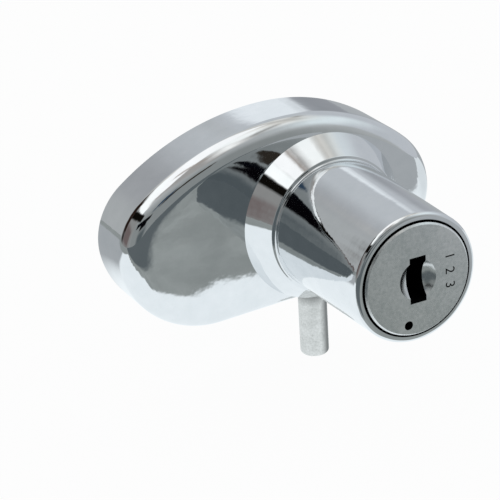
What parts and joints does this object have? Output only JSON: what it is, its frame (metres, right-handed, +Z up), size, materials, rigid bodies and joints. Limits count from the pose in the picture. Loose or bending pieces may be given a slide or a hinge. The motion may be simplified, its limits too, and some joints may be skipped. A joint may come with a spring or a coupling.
{
  "type": "glass door lock",
  "caption": "Glass door lock: egg-shaped cast base with a conical collar, a tapered barrel with a keyed plug, and a round bolt pin that points down.",
  "frame": {"origin": "on the glass, where the barrel's axis meets the back of the pad", "axes": "+X along the base to the right, +Y into the glass, +Z up; the barrel points along -Y and the bolt pin along -Z"},
  "size_m": [0.0619, 0.0442, 0.0485],
  "materials": {
    "chrome_casting": "polished chrome plate on die-cast zinc",
    "satin_plug": "satin nickel plate, finely turned face",
    "bolt_steel": "matt tumbled steel",
    "wafer_brass": "stamped brass",
    "spring_steel": "drawn spring wire",
    "zinc_block": "bare die-cast zinc",
    "cover_steel": "zinc-plated sheet steel",
    "pad_rubber": "matt closed-cell rubber"
  },
  "bodies": {
    "housing": {"housing": "chrome_casting", "back_cover": "cover_steel", "cover_screws": "cover_steel", "glass_pad": "pad_rubber", "thrust_washer": "cover_steel", "retaining_ring": "spring_steel"},
    "plug": {"plug": "satin_plug", "drive_disc": "cover_steel", "crank_stud": "bolt_steel", "retaining_spring": "spring_steel", "wafer_spring_1": "spring_steel", "wafer_spring_2": "spring_steel", "wafer_spring_3": "spring_steel", "wafer_spring_4": "spring_steel", "wafer_spring_5": "spring_steel", "wafer_spring_6": "spring_steel"},
    "wafer_1": {"wafer_1": "wafer_brass"},
    "wafer_2": {"wafer_2": "wafer_brass"},
    "wafer_3": {"wafer_3": "wafer_brass"},
    "wafer_4": {"wafer_4": "wafer_brass"},
    "wafer_5": {"wafer_5": "wafer_brass"},
    "wafer_6": {"wafer_6": "wafer_brass"},
    "retaining_wafer": {"retaining_wafer": "wafer_brass"},
    "bolt": {"bolt_slider": "zinc_block", "bolt_pin": "bolt_steel", "slider_cross_pin": "bolt_steel"}
  },
  "joints": [
    {"name": "plug_turn", "type": "hinge", "parent": "housing", "child": "plug", "pos_m": [0, -0.03, 0], "axis": [0, 1, 0], "range_deg": [0, 90]},
    {"name": "wafer_1_lift", "type": "slide", "parent": "plug", "child": "wafer_1", "axis": [0, 0, 1], "range_m": [0, 0.001], "deforming": ["wafer_spring_1"]},
    {"name": "wafer_2_lift", "type": "slide", "parent": "plug", "child": "wafer_2", "axis": [0, 0, 1], "range_m": [0, 0.001], "deforming": ["wafer_spring_2"]},
    {"name": "wafer_3_lift", "type": "slide", "parent": "plug", "child": "wafer_3", "axis": [0, 0, 1], "range_m": [0, 0.001], "deforming": ["wafer_spring_3"]},
    {"name": "wafer_4_lift", "type": "slide", "parent": "plug", "child": "wafer_4", "axis": [0, 0, 1], "range_m": [0, 0.001], "deforming": ["wafer_spring_4"]},
    {"name": "wafer_5_lift", "type": "slide", "parent": "plug", "child": "wafer_5", "axis": [0, 0, 1], "range_m": [0, 0.001], "deforming": ["wafer_spring_5"]},
    {"name": "wafer_6_lift", "type": "slide", "parent": "plug", "child": "wafer_6", "axis": [0, 0, 1], "range_m": [0, 0.001], "deforming": ["wafer_spring_6"]},
    {"name": "retaining_wafer_press", "type": "slide", "parent": "plug", "child": "retaining_wafer", "axis": [0, 0, 1], "range_m": [0, 0.0011], "stiffness_N_per_m": 150, "springref_m": -0.002, "deforming": ["retaining_spring"]},
    {"name": "bolt_slide", "type": "slide", "parent": "housing", "child": "bolt", "axis": [0, 0, 1], "range_m": [0, 0.01131]}
  ],
  "couplings": [
    {"joint": "bolt_slide", "follows": "plug_turn", "m_per_rad": 0.0072025},
    {"joint": "wafer_2_lift", "follows": "wafer_1_lift", "ratio": 1},
    {"joint": "wafer_3_lift", "follows": "wafer_1_lift", "ratio": 1},
    {"joint": "wafer_4_lift", "follows": "wafer_1_lift", "ratio": 1},
    {"joint": "wafer_5_lift", "follows": "wafer_1_lift", "ratio": 1},
    {"joint": "wafer_6_lift", "follows": "wafer_1_lift", "ratio": 1}
  ]
}
